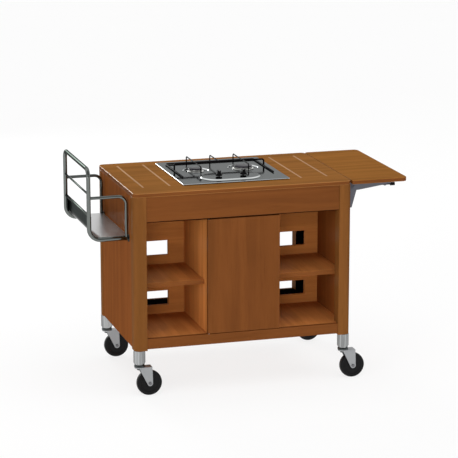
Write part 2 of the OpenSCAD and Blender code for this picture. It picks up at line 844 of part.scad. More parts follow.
module wall_brackets() {
  wall_bracket(FRONT);
  wall_bracket(REAR);
}

// A bracket's arm under the leaf, with the two guides of its release bar
module leaf_arm(end) {
  end_x = hinge_x + leaf_arm_l;
  root_x = half_w + leaf_gap + 6;
  tip_h = 9;
  guide_l = 8;
  wall = head_t;
  color("dimgray") at_cabinet() mirror([0, end > 0 ? 1 : 0, 0]) {
    difference() {
      union() {
        upright(-leaf_plate_y + bracket_t) linear_extrude(bracket_t)
          polygon([[root_x, under_z], [root_x, hinge_z - hub_r + 5],
            [hinge_x - 6, hinge_z - hub_r + 0.5], [hinge_x + 16, hinge_z - hub_r],
            [end_x, under_z - tip_h], [end_x, under_z]]);
        block([root_x, -leaf_plate_y, under_z - bracket_t],
          [end_x, -bracket_y + flange_w, under_z]);
      }
      translate([hinge_x, 0, hinge_z]) rotate([90, 0, 0])
        cylinder(r = hinge_pin_d / 2 + run_fit, h = half_d);
      block([root_x - 1, -bracket_y - pass_gap, hinge_z],
        [hinge_x + hub_r + pass_gap, half_d, under_z + 1]);
    }
    for (x = [bar_x + 22, arm_end_x - 14]) difference() {
      block([x, -bar_y - wall, bar_z - wall],
        [x + guide_l, -bar_y + bracket_t + wall, under_z - bracket_t + eps]);
      block([x - 1, -bar_y - pass_gap, bar_z - pass_gap],
        [x + guide_l + 1, -bar_y + bracket_t + pass_gap, bar_z + bar_h + pass_gap]);
    }
  }
}

module leaf_arms() {
  leaf_arm(FRONT);
  leaf_arm(REAR);
}

// A release bar with its pull, on the inner side of the two arms
module latch(end) {
  pull_x = arm_end_x + 12;
  color("black") at_cabinet() mirror([0, end > 0 ? 1 : 0, 0]) {
    block([bar_x, -bar_y, bar_z], [pull_x, -bar_y + bracket_t, bar_z + bar_h]);
    translate([pull_x - eps, -bar_y + bracket_t / 2, bar_z + bar_h / 2])
      rotate([0, 90, 0]) cylinder(d = pull_d, h = pull_l);
  }
}

module latch_front() { latch(FRONT); }
module latch_rear() { latch(REAR); }

module leaf() {
  ri = leaf_inner_r;
  color("peru") at_cabinet() translate([0, 0, under_z]) linear_extrude(top_t)
    rounded_rect([leaf_x, -half_d], [leaf_x + leaf_l, half_d], [ri, leaf_r, leaf_r, ri]);
}

module door() {
  color("peru") at_cabinet() difference() {
    block([-door_w / 2, -face_y, door_z], [door_w / 2, door_back_y, door_z + door_h]);
    for (z = [door_z - 1, door_z + door_h - pivot_grip])
      translate([pivot_x, pivot_y, z]) cylinder(d = pivot_d + 2 * eps, h = pivot_grip + 1);
  }
}

// The door's two pivot pins and the plate that its catch holds
module door_fittings() {
  pin_l = 2 * pivot_grip + door_gap - 2;
  plate_t = door_back_gap - pass_gap;
  color("silver") at_cabinet() {
    translate([pivot_x, pivot_y, floor_z - pivot_grip + 1]) cylinder(d = pivot_d, h = pin_l);
    translate([pivot_x, pivot_y, apron_z + pivot_grip - 1 - pin_l])
      cylinder(d = pivot_d, h = pin_l);
    block([divider_in_x - catch_s - 2, door_back_y, catch_z - catch_l / 2],
      [divider_in_x - 2, door_back_y + plate_t, catch_z + catch_l / 2]);
  }
}

// The bushes that the door's pins turn in, and the magnetic catch
module carcass_fittings() {
  catch_y = door_back_y + door_back_gap;
  color("silver") at_cabinet() {
    for (z = [floor_z - pivot_grip, apron_z]) translate([pivot_x, pivot_y, z]) difference() {
      cylinder(d = bush_d, h = pivot_grip);
      translate([0, 0, -1]) cylinder(r = pivot_d / 2 + run_fit, h = pivot_grip + 2);
    }
    block([divider_in_x - catch_s, catch_y, catch_z - catch_l / 2],
      [divider_in_x, catch_y + catch_d, catch_z + catch_l / 2]);
  }
}

// The welded wire grate: a frame lying on the hob, a raised bar across both burners, and three
// fingers from the rear, of which the outer two run on over the burners to feet at the front
module pan_grate() {
  x = grate_w / 2;
  color("black") at_cabinet() {
    translate([0, 0, frame_z])
      wire([[-x, grate_front_y], [-x, grate_back_y], [x, grate_back_y], [x, grate_front_y]],
        grate_bend, frame_wire_d);
    upright(burner_y)
      wire([[-x, frame_z], [-x, grate_z], [x, grate_z], [x, frame_z]], grate_bend, cross_wire_d);
    for (s = [-1, 1]) translate([s * burner_x, 0, 0]) rotate([90, 0, 90])
      wire([[grate_back_y, frame_z], [grate_back_y, grate_z], [finger_front_y, grate_z],
        [finger_front_y, grate_foot_z]], grate_bend, finger_d);
    rotate([90, 0, 90])
      wire([[grate_back_y, frame_z], [grate_back_y, grate_z], [burner_y, grate_z]],
        grate_bend, finger_d);
  }
}

// A control knob with a skirt and a grip bar
module knob(side) {
  color("black") at_cabinet() translate([side * knob_x, knob_y, knob_z]) difference() {
    union() {
      cylinder(d = knob_d, h = knob_h * 0.35);
      cylinder(d = knob_d - 5, h = knob_h);
    }
    translate([0, 0, -1]) cylinder(r = spindle_d / 2 + run_fit, h = knob_h * 0.6 + 1);
    for (s = [-1, 1]) translate([s * knob_d * 0.5, 0, knob_h * 0.9])
      cube([knob_d * 0.52, knob_d, knob_h], center = true);
  }
}

module knob_left() { knob(LEFT); }
module knob_right() { knob(RIGHT); }

module spindle(side) {
  low = valve_z + 4 + tap_travel + pass_gap;
  color("silver") at_cabinet() translate([side * knob_x, knob_y, low])
    cylinder(d = spindle_d, h = knob_z + knob_h * 0.6 - 0.5 - low);
}

module spindle_left() { spindle(LEFT); }
module spindle_right() { spindle(RIGHT); }

// The steel sockets under the legs, narrowed at the bottom
module caster_sockets() {
  neck_h = 9;
  neck_d = socket_d - 9;
  color("silver") at_cabinet() for (sx = [-1, 1], sy = [-1, 1])
    translate([sx * caster_x, sy * caster_y, caster_h]) rotate_extrude()
      polygon([[0, 0], [neck_d / 2, 0], [socket_d / 2, neck_h], [socket_d / 2, socket_h],
        [0, socket_h]]);
}

// The fixed half of each swivel: the race and the stem with its end nut
module caster_races() {
  color("dimgray") at_cabinet() for (sx = [-1, 1], sy = [-1, 1])
    translate([sx * caster_x, sy * caster_y, 0]) {
      translate([0, 0, race_z]) rotate_extrude()
        polygon([[0, 0], [race_d / 2 - 2, 0], [race_d / 2, 2], [race_d / 2, race_h - 3],
          [race_d / 2 - 4, race_h], [0, race_h]]);
      translate([0, 0, stem_z]) cylinder(d = stem_d, h = race_z - stem_z + eps);
      translate([0, 0, stem_z]) cylinder(d = stem_d + 8, h = crown_z - stem_z - pass_gap);
    }
}

// A pressed fork: a crown round the stem and two tapering plates down to the axle
module fork(side, end) {
  eye_r = 11;
  back_x = trail + 9;
  out = fork_in + fork_t;
  color("lightgray") at_cabinet()
    translate([side * caster_x, end * caster_y, 0]) difference() {
      union() {
        translate([0, 0, crown_z]) linear_extrude(crown_t) {
          circle(r = out + 1);
          translate([0, -out]) square([back_x, 2 * out]);
        }
        for (s = [-1, 1]) translate([0, s > 0 ? out : -fork_in, 0]) rotate([90, 0, 0])
          linear_extrude(fork_t) hull() {
            translate([-4, crown_z]) square([back_x + 4, crown_t]);
            translate([trail, wheel_r]) circle(r = eye_r, $fn = 32);
          }
      }
      translate([0, 0, crown_z - 1]) cylinder(r = stem_d / 2 + run_fit, h = crown_t + 2);
      translate([trail, 0, wheel_r]) rotate([90, 0, 0])
        cylinder(r = axle_d / 2 + eps, h = 4 * out, center = true);
    }
}

module fork_front_left() { fork(LEFT, FRONT); }
module fork_front_right() { fork(RIGHT, FRONT); }
module fork_rear_left() { fork(LEFT, REAR); }
module fork_rear_right() { fork(RIGHT, REAR); }

// An axle bolt with its head and nut
module axle(side, end) {
  out = fork_in + fork_t;
  head_h = 4;
  color("silver") at_cabinet()
    translate([side * caster_x + trail, end * caster_y, wheel_r]) rotate([90, 0, 0]) {
      cylinder(d = axle_d, h = 2 * out + 2, center = true);
      for (s = [-1, 1]) translate([0, 0, s * (out + head_h / 2 + eps)])
        cylinder(d = axle_d + 5, h = head_h, center = true, $fn = 6);
    }
}

module axle_front_left() { axle(LEFT, FRONT); }
module axle_front_right() { axle(RIGHT, FRONT); }
module axle_rear_left() { axle(LEFT, REAR); }
module axle_rear_right() { axle(RIGHT, REAR); }

// A solid wheel with a rounded tread, dished sides and a hub
module wheel(side, end) {
  w = wheel_w / 2;
  r = wheel_r;
  edge = 6;
  hub_r = 14;
  dish = 3;
  color("#222222") at_cabinet()
    translate([side * caster_x + trail, end * caster_y, r]) rotate([90, 0, 0])
      rotate_extrude($fn = 72) {
        difference() {
          translate([axle_d / 2 + run_fit, -w]) square([r - axle_d / 2 - run_fit, 2 * w]);
          for (s = [-1, 1]) {
            translate([r - edge, s * w]) difference() {
              square([2 * edge, 2 * edge], center = true);
              translate([0, -s * edge]) circle(r = edge);
              translate([-2 * edge, -2 * edge]) square([2 * edge, 4 * edge]);
            }
            translate([hub_r, s > 0 ? w - dish : -w - 1]) square([r * 0.72 - hub_r, dish + 1]);
          }
        }
        translate([axle_d / 2 + run_fit, -hub_w / 2]) square([hub_r - axle_d / 2, hub_w]);
      }
}

module wheel_front_left() { wheel(LEFT, FRONT); }
module wheel_front_right() { wheel(RIGHT, FRONT); }
module wheel_rear_left() { wheel(LEFT, REAR); }
module wheel_rear_right() { wheel(RIGHT, REAR); }

worktop();
inlay_strips();
leg_front_left();
leg_front_right();
leg_rear_left();
leg_rear_right();
side_left();
side_right();
front_apron();
rear_apron();
front_rail();
rear_rail();
bottom_panel();
divider_left();
divider_right();
partition_left();
partition_right();
shelf_left();
shelf_right();
back_panel();
bay_liners();
hob_plate();
hob_casing();
burner_rings();
burner_caps();
gas_valves();
gas_pipes();
gas_inlet();
hob_clamps();
rack_frame();
rack_rails();
rack_tray();
rack_rosettes();
wall_brackets();
carcass_fittings();
caster_sockets();
caster_races();
door();
door_fittings();
leaf();
leaf_arms();
latch_front();
latch_rear();
pan_grate();
knob_left();
knob_right();
spindle_left();
spindle_right();
fork_front_left();
fork_front_right();
fork_rear_left();
fork_rear_right();
axle_front_left();
axle_front_right();
axle_rear_left();
axle_rear_right();
wheel_front_left();
wheel_front_right();
wheel_rear_left();
wheel_rear_right();
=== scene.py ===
"""Looks of the flambe cart: wooden cabinet, gas hob, bottle rack, drop leaf and casters."""

import json
import math

import bmesh
import bpy
from mathutils import Matrix, Vector


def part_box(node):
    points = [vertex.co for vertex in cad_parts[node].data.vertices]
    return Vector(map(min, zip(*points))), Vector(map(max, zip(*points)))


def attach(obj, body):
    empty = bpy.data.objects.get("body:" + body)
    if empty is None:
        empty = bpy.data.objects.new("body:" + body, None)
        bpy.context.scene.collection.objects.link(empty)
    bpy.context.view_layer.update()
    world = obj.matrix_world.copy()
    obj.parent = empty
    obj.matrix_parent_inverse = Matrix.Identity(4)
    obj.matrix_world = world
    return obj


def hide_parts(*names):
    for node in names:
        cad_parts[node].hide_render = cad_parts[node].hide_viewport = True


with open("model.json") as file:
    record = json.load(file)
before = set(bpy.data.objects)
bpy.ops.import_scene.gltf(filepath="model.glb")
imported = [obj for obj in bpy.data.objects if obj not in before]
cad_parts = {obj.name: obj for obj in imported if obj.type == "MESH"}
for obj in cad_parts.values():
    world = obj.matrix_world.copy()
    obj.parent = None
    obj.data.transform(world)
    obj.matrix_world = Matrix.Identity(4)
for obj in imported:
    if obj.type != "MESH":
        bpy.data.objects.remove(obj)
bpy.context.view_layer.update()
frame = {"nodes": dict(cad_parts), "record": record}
MM = 0.001
CORNERS = ("front_left", "front_right", "rear_left", "rear_right")

# The cart's main planes and the burners' depth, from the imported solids
top_low, top_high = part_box("worktop")
LEFT_X = top_low.x
CART_X = (top_low.x + top_high.x) / 2
TOP_Z = top_high.z
caps_low, caps_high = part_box("burner_caps")
BURNER_Y = ((caps_low + caps_high) / 2).y

# The two burners: distance from the cart's middle, and radius of the flame ring
BURNERS = ((-98 * MM, 33 * MM), (98 * MM, 43 * MM))
# How much smaller than its ring a cap is, and how much wider the well
CAP_STEP = 6 * MM
WELL_STEP = 23 * MM

# Edges that turn by more than SHARP are eased, and faces that differ by less than FLAT are one
SHARP = math.radians(30)
FLAT = math.radians(1)
# How near the outline of a board its outer edges lie
OUTLINE = 12 * MM
# How near points are that are one, in a turned mesh and in a CAD mesh
TURNED_WELD, CAD_WELD = 0.001 * MM, 0.01 * MM
# The shortest edge that an eased or pressed mesh keeps
SHORTEST = 0.02 * MM

# Places of a piece's finishes, in the order in which they are given
MAIN, EDGE, THIRD = 0, 1, 2
# Sockets of the Mix node that mix colours, because their names stand for several sockets
MIX_SHARE, MIX_FIRST, MIX_SECOND = 0, 6, 7


class Value:
    """One shader value. Sums on it add the Math nodes that they need."""

    def __init__(self, finish, socket):
        self.finish = finish
        self.socket = socket

    def result(self, operation, *values):
        """What one Math node gives for some values."""
        sockets = dict(enumerate(values))
        return self.finish.node("ShaderNodeMath", {"operation": operation}, sockets)["Value"]

    def __add__(self, other):
        return self.result("ADD", self, other)

    def __sub__(self, other):
        return self.result("SUBTRACT", self, other)

    def __rsub__(self, other):
        return self.result("SUBTRACT", other, self)

    def __mul__(self, other):
        return self.result("MULTIPLY", self, other)

    def __or__(self, other):
        """The larger of the two."""
        return self.result("MAXIMUM", self, other)

    __radd__ = __add__
    __rmul__ = __mul__
    __ror__ = __or__


class Finish:
    """A material, or the world, and the nodes that it is made of."""

    def __init__(self, owner, **constants):
        self.owner = owner
        self.owner.use_nodes = True
        self.tree = self.owner.node_tree
        self.shader = self.tree.nodes.get("Principled BSDF")
        for name, value in constants.items():
            self.set(name, value)

    def node(self, kind, settings=(), sockets=()):
        """Adds one node: its settings first, then the values or links of its sockets."""
        made = self.tree.nodes.new(kind)
        for key, value in dict(settings).items():
            setattr(made, key, value)
        for key, value in dict(sockets).items():
            self.feed(made.inputs[key], value)
        return {out.name: Value(self, out) for out in made.outputs if out.enabled}

    def feed(self, socket, value):
        """Links a value to a socket, or sets a constant on it."""
        if isinstance(value, Value):
            self.tree.links.new(value.socket, socket)
        else:
            socket.default_value = value

    def set(self, name, value):
        """Gives one of the shader's own sockets a constant or a link."""
        self.feed(self.shader.inputs[name], value)

    def mix(self, share, first, second):
        """Two colours, mixed."""
        first, second = (opaque(c) if isinstance(c, tuple) else c for c in (first, second))
        sockets = {MIX_SHARE: share, MIX_FIRST: first, MIX_SECOND: second}
        return self.node("ShaderNodeMix", {"data_type": "RGBA"}, sockets)["Result"]

    def place(self, stretch):
        """The point on the object, in metres, stretched along its axes."""
        point = self.node("ShaderNodeTexCoord")["Object"]
        sockets = {0: point, 1: stretch}
        return self.node("ShaderNodeVectorMath", {"operation": "MULTIPLY"}, sockets)["Vector"]

    def noise(self, stretch=(1, 1, 1), scale=1.0, detail=3.0, roughness=0.55, distortion=0.0):
        """Soft marks over the object, from 0 to 1, finer along the axes that are stretched."""
        sockets = {"Vector": self.place(stretch), "Scale": scale, "Detail": detail,
                   "Roughness": roughness, "Distortion": distortion}
        return self.node("ShaderNodeTexNoise", sockets=sockets)["Fac"]

    def steps(self, value, low, high):
        """0 below low, 1 above high, and a smooth rise between."""
        settings = {"interpolation_type": "SMOOTHSTEP"}
        sockets = {"Value": value, "From Min": low, "From Max": high}
        return self.node("ShaderNodeMapRange", settings, sockets)["Result"]

    def bump(self, height, strength, distance):
        """Raises the skin by a height from 0 to 1, times a distance in metres."""
        sockets = {"Height": height, "Strength": strength, "Distance": distance}
        self.set("Normal", self.node("ShaderNodeBump", sockets=sockets)["Normal"])


def opaque(colour):
    return (*colour, 1)


def paint(red, green, blue):
    """A colour read off a screen, 0 to 255, as light. The curve is the one that screens use."""
    def light(level):
        level /= 255
        return level / 12.92 if level <= 0.04045 else ((level + 0.055) / 1.055) ** 2.4
    return (light(red), light(green), light(blue))


def scaled(colour, factor):
    return tuple(min(1.0, part * factor) for part in colour)


def with_grain(grain, across, along):
    """Marks for each metre along X, Y and Z, across the grain and along it."""
    return [along if axis == grain else across for axis in "XYZ"]


def lacquered_wood(name, colour, grain, sheen=0.06):
    """Stained veneer under a satin lacquer, with its grain along one axis."""
    dark, light, patch, pore = (scaled(colour, share) for share in (0.86, 1.12, 1.16, 0.55))
    satin, lacquer = 0.42, 0.18
    wood = Finish(bpy.data.materials.new(name))
    figure = wood.noise(with_grain(grain, across=30, along=1.6), detail=5, distortion=0.5)
    pores = wood.noise(with_grain(grain, across=520, along=16), detail=2)
    patches = wood.noise(scale=5, detail=2)
    open_pores = wood.steps(pores, low=0.56, high=0.72)
    body = wood.mix(wood.steps(figure, low=0.34, high=0.68), dark, light)
    body = wood.mix(wood.steps(patches, low=0.3, high=0.75) * 0.35, body, patch)
    wood.set("Base Color", wood.mix(open_pores * 0.3, body, pore))
    wood.set("Roughness", satin + figure * 0.1 + open_pores * 0.12)
    wood.set("Specular IOR Level", 0.0)
    wood.set("Coat Weight", sheen - open_pores * sheen * 0.7)
    wood.set("Coat Roughness", lacquer)
    wood.bump(1 - open_pores, strength=0.12, distance=0.3 * MM)
    return wood.owner


def plated(name, colour, roughness, streak=(40, 40, 40), spread=0.06, metallic=1.0, edge=1.0,
           depth=0.0, slope_highlight=None):
    """Metal, or a metal plating, whose polish varies a little along fine streaks.

    Spread is how far the roughness varies, and edge how bright the metal is at a glancing angle.
    Depth is how dark the streaks are painted, from 0 to 1: painted dark reflections. The last
    argument is a brighter colour painted where a pressed sheet slopes: a painted highlight."""
    metal = Finish(bpy.data.materials.new(name), Metallic=metallic)
    marks = metal.noise(streak, detail=4, roughness=0.65)
    smear = metal.noise(scale=14, detail=3)
    body = metal.mix(smear * 0.5, scaled(colour, 0.93), scaled(colour, 1.07))
    # Painted dark reflections: the streaks darkened by depth
    if depth:
        painted_reflection_streaks = metal.steps(marks, low=0.44, high=0.56) * depth
        body = metal.mix(painted_reflection_streaks, body, scaled(colour, 0.3))
    # Painted highlight: faces that slope, by their normal, take the brighter colour
    if slope_highlight:
        facing = metal.node("ShaderNodeTexCoord")["Normal"]
        up = metal.node("ShaderNodeSeparateXYZ", sockets={"Vector": facing})["Z"]
        level = metal.steps(up | (0 - up), low=0.78, high=0.97)
        body = metal.mix(1 - level, body, slope_highlight)
    metal.set("Base Color", body)
    dull = metal.steps(smear, low=0.5, high=0.8)
    metal.set("Roughness", roughness - spread / 2 + marks * spread + dull * spread)
    metal.set("Specular Tint", opaque((edge, edge, edge)))
    return metal.owner


def moulded(name, colour, roughness, fineness=900, specular=0.4):
    """Plastic, rubber, enamel or lining with a fine skin, a little paler where dust lies."""
    skin = Finish(bpy.data.materials.new(name))
    grain = skin.noise(scale=fineness, detail=2)
    dust = skin.noise(scale=30, detail=4)
    dusty = skin.steps(dust, low=0.45, high=0.8) * 0.5
    skin.set("Base Color", skin.mix(dusty, colour, scaled(colour, 1.7)))
    skin.set("Roughness", roughness + dust * 0.12)
    skin.set("Specular IOR Level", specular)
    skin.bump(grain, strength=0.15, distance=0.15 * MM)
    return skin.owner


WOOD_TOP = paint(141, 93, 45)
WOOD_LEAF = paint(143, 94, 44)
WOOD_FRONT = paint(110, 64, 30)
WOOD_SIDE = paint(128, 73, 33)
WOOD_LEG = paint(118, 74, 35)
# Niche boards and their edges, painted lighter than the front's wood: painted light against the
# shade in the niches
WOOD_PARTITION_PAINTED_LIGHT = paint(178, 112, 58)
WOOD_SHELF_PAINTED_LIGHT = paint(184, 117, 62)
WOOD_DIVIDER_PAINTED_LIGHT = paint(194, 123, 64)
WOOD_INNER_EDGE_PAINTED_LIGHT = paint(140, 83, 40)
# Near-black wood for the aprons' lower chamfer: a painted shade line under the aprons
WOOD_PAINTED_SHADE = paint(46, 23, 10)
WOOD_INLAY = paint(176, 138, 102)

# Streaks that a rolled or drawn metal has along one axis
ALONG_X = (6, 500, 500)
ALONG_Y = (500, 6, 500)
ALONG_Z = (90, 90, 2)

FINISHES = {
    "top_x": lacquered_wood("worktop_veneer", WOOD_TOP, "X", sheen=0.02),
    "leaf_x": lacquered_wood("leaf_veneer", WOOD_LEAF, "X", sheen=0.012),
    "front_x": lacquered_wood("apron_veneer", WOOD_FRONT, "X"),
    "front_z": lacquered_wood("door_veneer", WOOD_FRONT, "Z"),
    # Veneers inside the niches, painted lighter: painted light
    "inner_x": lacquered_wood("partition_veneer_painted_light", WOOD_PARTITION_PAINTED_LIGHT, "X", sheen=0.03),
    "inner_y": lacquered_wood("shelf_veneer_painted_light", WOOD_SHELF_PAINTED_LIGHT, "Y", sheen=0.03),
    "inner_z": lacquered_wood("divider_veneer_painted_light", WOOD_DIVIDER_PAINTED_LIGHT, "Z", sheen=0.03),
    "side_z": lacquered_wood("side_veneer", WOOD_SIDE, "Z", sheen=0.02),
    "leg_z": lacquered_wood("leg_timber", WOOD_LEG, "Z"),
    "lipping": lacquered_wood("edge_lipping", scaled(WOOD_FRONT, 1.04), "X"),
    # The shelves' lipping, painted lighter than the other lipping: painted light
    "shelf_lipping": lacquered_wood("shelf_lipping", scaled(WOOD_FRONT, 1.25), "X"),
    # Eased outer edges paler than their boards, with a glossier coat: partly wear, partly a
    # painted highlight
    "polished_edge": lacquered_wood("top_polished_edge", scaled(WOOD_TOP, 1.2), "X", sheen=0.5),
    "front_edge": lacquered_wood("front_edge_worn_and_painted_highlight", scaled(WOOD_FRONT, 1.2), "X", sheen=0.25),
    # The aprons' lower chamfer: painted shade
    "stained_edge": lacquered_wood("apron_stained_edge", WOOD_PAINTED_SHADE, "X", sheen=0.0),
    # The niche boards' eased edges, painted lighter: painted light
    "inner_edge": lacquered_wood("inner_edge_painted_light", WOOD_INNER_EDGE_PAINTED_LIGHT, "X", sheen=0.1),
    "side_edge": lacquered_wood("side_edge_worn_and_painted_highlight", scaled(WOOD_FRONT, 1.2), "Y", sheen=0.25),
    "leg_edge": lacquered_wood("leg_edge_worn_and_painted_highlight", scaled(WOOD_LEG, 1.25), "Z", sheen=0.4),
    "inlay": lacquered_wood("pale_inlay_strip", WOOD_INLAY, "Y", sheen=0.03),
    # Near-black lining for the rear bays: painted shade
    "laminate": moulded("black_laminate", paint(7, 7, 7), 0.5, fineness=300, specular=0.0),
    # Hob steel: a base darker than bare steel, painted dark reflection, and slopes painted
    # brighter, a painted highlight
    "hob": plated("hob_steel", (0.305, 0.325, 0.325), 0.09, streak=ALONG_X, spread=0.05,
                  edge=0.4, slope_highlight=(0.72, 0.74, 0.74)),
    "seal": moulded("hob_seal", paint(9, 9, 9), 0.6, specular=0.0),
    "ring": plated("burner_alloy", (0.62, 0.62, 0.6), 0.28),
    "cap": moulded("cap_enamel", paint(30, 26, 34), 0.22, fineness=500, specular=0.05),
    "brass": plated("gas_brass", (0.7, 0.48, 0.2), 0.3),
    "zinc": plated("zinc_plate", (0.52, 0.53, 0.54), 0.34),
    "bolt": plated("bolt_steel", (0.2, 0.2, 0.21), 0.3, edge=0.5),
    # Rack chrome with a dark base and a dim glancing edge: painted dark reflection
    "rack": plated("rack_chrome", (0.19, 0.205, 0.195), 0.08, spread=0.04, edge=0.2),
    # The tray's floor painted bright and its walls painted dark, one steel sheet: painted
    # reflections
    "tray": plated("tray_steel", (0.72, 0.72, 0.72), 0.3, streak=ALONG_Y, spread=0.08, edge=0.7),
    "tray_walls_dark": plated("tray_walls_painted_dark", (0.14, 0.155, 0.15), 0.16, streak=ALONG_Y, edge=0.25),
    "bracket": plated("bracket_zinc", (0.15, 0.15, 0.17), 0.42, edge=0.5),
    # Socket chrome with its streaks painted dark: painted dark reflections
    "socket": plated("socket_chrome", (0.46, 0.47, 0.47), 0.12, streak=ALONG_Z, edge=0.25,
                     depth=0.55),
    "race": plated("race_steel", (0.1, 0.11, 0.11), 0.35, edge=0.4),
    "plastic": moulded("black_plastic", paint(14, 14, 15), 0.35, specular=0.1),
    "mark": moulded("white_mark", paint(225, 225, 220), 0.4),
    "wire": moulded("grate_enamel", paint(10, 9, 10), 0.32, fineness=500, specular=0.02),
    "fork": plated("fork_zinc", (0.4, 0.41, 0.42), 0.38, spread=0.16, metallic=0.8, edge=0.6),
    "tyre": moulded("wheel_rubber", paint(15, 15, 16), 0.42, specular=0.18),
}


def as_piece(name, mesh, body, slot, finish, nodes=(), smooth=35):
    """Makes an object of a mesh and hangs it on its CAD body.

    The finish is one for the whole piece, or one for each material that the faces have. Edges
    that turn by more than smooth, in degrees, look sharp."""
    for face in mesh.polygons:
        face.use_smooth = True
    mesh.set_sharp_from_angle(angle=math.radians(smooth))
    piece = bpy.data.objects.new(name, mesh)
    bpy.context.collection.objects.link(piece)
    several = isinstance(finish, tuple)
    places = [face.material_index for face in mesh.polygons]
    mesh.materials.clear()
    for each in finish if several else (finish,):
        mesh.materials.append(FINISHES[each])
    if several:
        mesh.polygons.foreach_set("material_index", places)
    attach(piece, body)
    if nodes:
        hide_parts(*nodes)
    return piece


def body_of(node):
    groups = frame["record"]["behaviour"]["bodies"]
    return next(body for body, members in groups.items() if node in members)


def slot_of(node):
    subparts = frame["record"]["subparts"]
    return next(part["material_slot"] for part in subparts if part["node"] == node)


def as_mesh(form, name):
    """The mesh of a finished form, which is freed."""
    mesh = bpy.data.meshes.new(name)
    form.to_mesh(mesh)
    form.free()
    return mesh


def bevel(form, edges, width, rounds, clamp=False):
    """Bevels some edges, and gives the faces that this makes."""
    return bmesh.ops.bevel(form, geom=edges, offset=width, segments=rounds, profile=0.5,
                           affect="EDGES", clamp_overlap=clamp)["faces"]


def eased(node, *finish, width=0.8 * MM, rounds=2, cut_outs=True, under=0.0):
    """The CAD node with its sharp edges eased, as by sandpaper or a press.

    A second finish goes on the eased outer edges, and a third on the faces that stand upright.
    With a width given as under, the lower edges are chamfered by it first and take the third,
    which on the aprons is a painted shade line.
    Without cut_outs, only the outer edges are eased."""
    mesh = frame["nodes"][node].data.copy()
    low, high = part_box(node)
    across = sorted(range(3), key=lambda axis: high[axis] - low[axis])[1:]

    def outer(point):
        """Whether a point is near the outline of the node's two longer sides."""
        return min(min(point[a] - low[a], high[a] - point[a]) for a in across) < OUTLINE

    form = bmesh.new()
    form.from_mesh(mesh)
    bmesh.ops.remove_doubles(form, verts=form.verts, dist=CAD_WELD)
    bmesh.ops.dissolve_limit(form, angle_limit=FLAT, verts=form.verts, edges=form.edges)
    upright = THIRD if len(finish) > THIRD and not under else MAIN
    for face in form.faces:
        stands_upright = abs(face.normal.z) < 0.5
        face.material_index = upright if stands_upright else MAIN
    if under:
        foot = low.z + 0.1 * MM
        lower = [e for e in form.edges if all(v.co.z < foot for v in e.verts)]
        for face in bevel(form, lower, under, rounds=1):
            face.material_index = THIRD
        form.normal_update()
    edges = [e for e in form.edges if e.is_manifold and e.calc_face_angle(0) > SHARP]
    if under:
        edges = [e for e in edges if all(f.material_index == MAIN for f in e.link_faces)]
    if not cut_outs:
        edges = [e for e in edges if outer((e.verts[0].co + e.verts[1].co) / 2)]
    eased_finish = min(EDGE, len(finish) - 1)
    for face in bevel(form, edges, width, rounds, clamp=True):
        face.material_index = eased_finish if outer(face.calc_center_median()) else MAIN
    bmesh.ops.dissolve_degenerate(form, dist=SHORTEST, edges=form.edges)
    form.to_mesh(mesh)
    form.free()
    piece = as_piece(f"{node}_eased", mesh, body_of(node), slot_of(node), finish, [node],
                     smooth=60)
    piece.modifiers.new("even faces", "WEIGHTED_NORMAL").keep_sharp = True


def turned(profile, sides=64):
    """A mesh turned about Z from (radius, height) points. A radius of 0 closes it."""
    form = bmesh.new()
    angles = [2 * math.pi * i / sides for i in range(sides)]
    rings = []
    for radius, height in profile:
        spots = [(radius * math.cos(a), radius * math.sin(a), height) for a in angles]
        rings.append([form.verts.new(spot) for spot in (spots if radius else spots[:1])])
    for low, high in zip(rings, rings[1:]):
        for i in range(sides):
            j = (i + 1) % sides
            corners = [low[i % len(low)], low[j % len(low)],
                       high[j % len(high)], high[i % len(high)]]
            form.faces.new(list(dict.fromkeys(corners)))
    bmesh.ops.remove_doubles(form, verts=form.verts, dist=TURNED_WELD)
    bmesh.ops.recalc_face_normals(form, faces=form.faces)
    return as_mesh(form, "turned")


def bevelled_block(size, edge):
    form = bmesh.new()
    bmesh.ops.create_cube(form, size=1)
    bmesh.ops.scale(form, vec=size, verts=form.verts)
    bevel(form, form.edges, edge, rounds=2)
    return as_mesh(form, "block")


def joined(meshes):
    """Several meshes as one."""
    form = bmesh.new()
    for mesh in meshes:
        form.from_mesh(mesh)
    return as_mesh(form, "joined")


def moved(mesh, place, turn=None):
    """The mesh, turned about its origin and then moved to its place."""
    mesh.transform(Matrix.Translation(place) @ (turn or Matrix.Identity(4)))
    return mesh


def arc(centre, radius, start, end, steps=6):
    """(radius, height) points round a centre, from one angle to another, in degrees."""
    angles = [math.radians(start + (end - start) * i / steps) for i in range(steps + 1)]
    return [(centre[0] + radius * math.cos(a), centre[1] + radius * math.sin(a)) for a in angles]


def bent(points, radius, steps=8):
    """A path with each inner corner rounded to a bend."""
    points = [Vector(p) for p in points]
    path = [points[0]]
    for before, corner, after in zip(points, points[1:], points[2:]):
        back, ahead = (before - corner).normalized(), (after - corner).normalized()
        half = back.angle(ahead) / 2
        reach = radius / math.tan(half)
        centre = corner + (back + ahead).normalized() * (radius / math.sin(half))
        start = (corner + back * reach - centre).normalized()
        end = (corner + ahead * reach - centre).normalized()
        path += [centre + start.slerp(end, i / steps) * radius for i in range(steps + 1)]
    return path + [points[-1]]


def blunt(path, radius, steps=3):
    """Points and widths of a bar whose two cut ends are rounded over."""
    tip_width = 0.05
    points = [(Vector(p), 1.0) for p in path]
    for end, near in ((0, 1), (-1, -2)):
        tip = points[end][0]
        inward = (points[near][0] - tip).normalized()
        angles = [math.radians(90 * i / steps) for i in range(steps + 1)]
        cap = [(tip + inward * radius * (1 - math.cos(a)), max(tip_width, math.sin(a)))
               for a in angles]
        points = cap + points[1:] if end == 0 else points[:-1] + cap[::-1]
    return points


